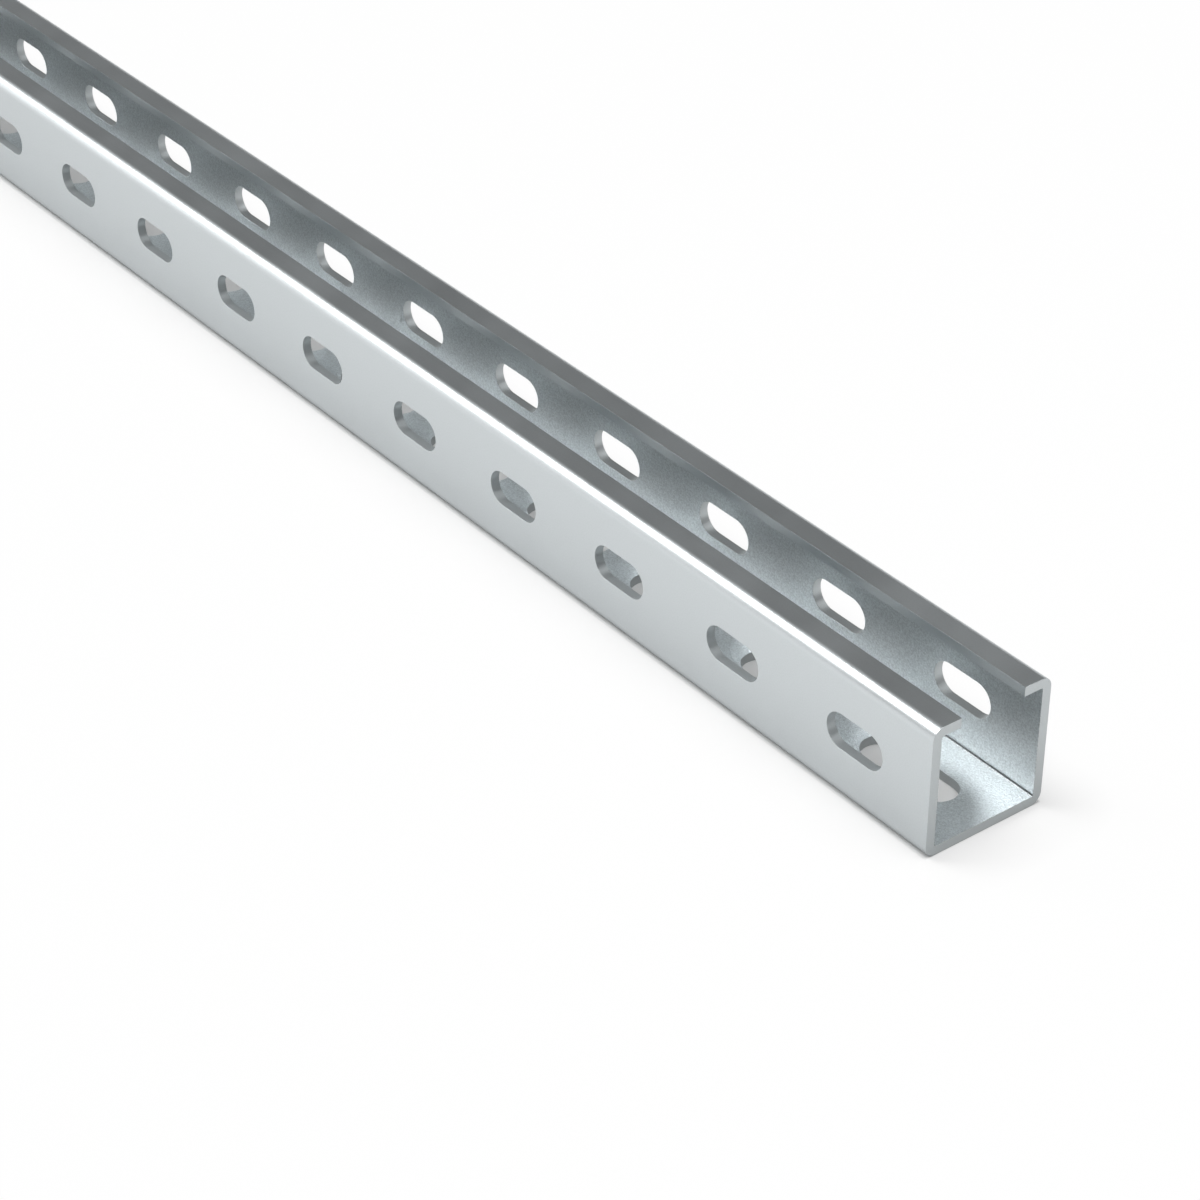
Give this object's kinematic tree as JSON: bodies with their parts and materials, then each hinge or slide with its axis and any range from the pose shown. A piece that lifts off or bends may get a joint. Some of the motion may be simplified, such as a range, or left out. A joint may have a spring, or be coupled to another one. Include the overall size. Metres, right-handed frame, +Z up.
{
  "type": "perforated mounting rail",
  "caption": "Square C-section mounting rail of zinc-coated steel with two plain lips turned in and rows of slots along its base and both side walls, for bolting pipework, ducts and brackets.",
  "frame": {"origin": "centre of the underside, halfway along the rail", "axes": "+X along the rail towards the sawn end that the picture shows, +Z up towards the open mouth, +Y across"},
  "size_m": [1, 0.041, 0.041],
  "materials": {
    "zinc_coated_steel": "satin zinc coating with a fine mottled grain"
  },
  "bodies": {
    "root": {"mounting_rail": "zinc_coated_steel"}
  },
  "joints": []
}
